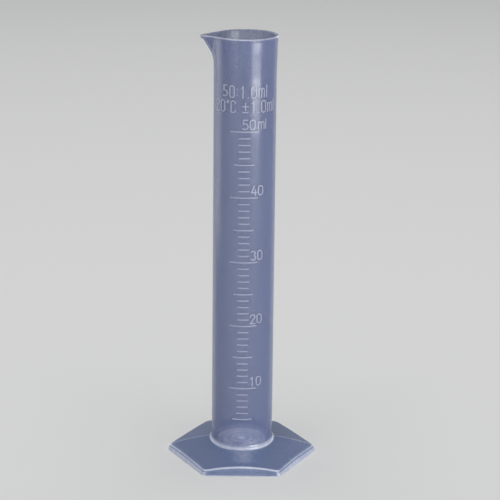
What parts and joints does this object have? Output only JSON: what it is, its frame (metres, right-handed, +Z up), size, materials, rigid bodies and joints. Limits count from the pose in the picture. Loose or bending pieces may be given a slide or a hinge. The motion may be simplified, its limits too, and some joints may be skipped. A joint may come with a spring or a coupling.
{
  "type": "graduated cylinder",
  "caption": "Tall translucent plastic measuring cylinder with a pouring spout, raised millilitre scale and arched hexagonal foot.",
  "frame": {"origin": "centre of the hexagonal foot, on the surface it stands on", "axes": "+Z up along the barrel's axis; the pouring spout points along -X; the scale faces -Y"},
  "size_m": [0.0606, 0.053, 0.1715],
  "materials": {
    "barrel_polypropylene": "translucent milky polypropylene, polished mould",
    "foot_polypropylene": "translucent milky polypropylene, polished mould",
    "raised_marks": "translucent milky polypropylene, engraved mould texture"
  },
  "bodies": {
    "root": {"barrel": "barrel_polypropylene", "hex_base": "foot_polypropylene", "lines_1ml": "raised_marks", "lines_5ml": "raised_marks", "lines_10ml": "raised_marks", "numeral_10": "raised_marks", "numeral_20": "raised_marks", "numeral_30": "raised_marks", "numeral_40": "raised_marks", "numeral_50": "raised_marks", "unit_ml": "raised_marks", "tolerance_inscription": "raised_marks", "capacity_inscription": "raised_marks"}
  },
  "joints": []
}
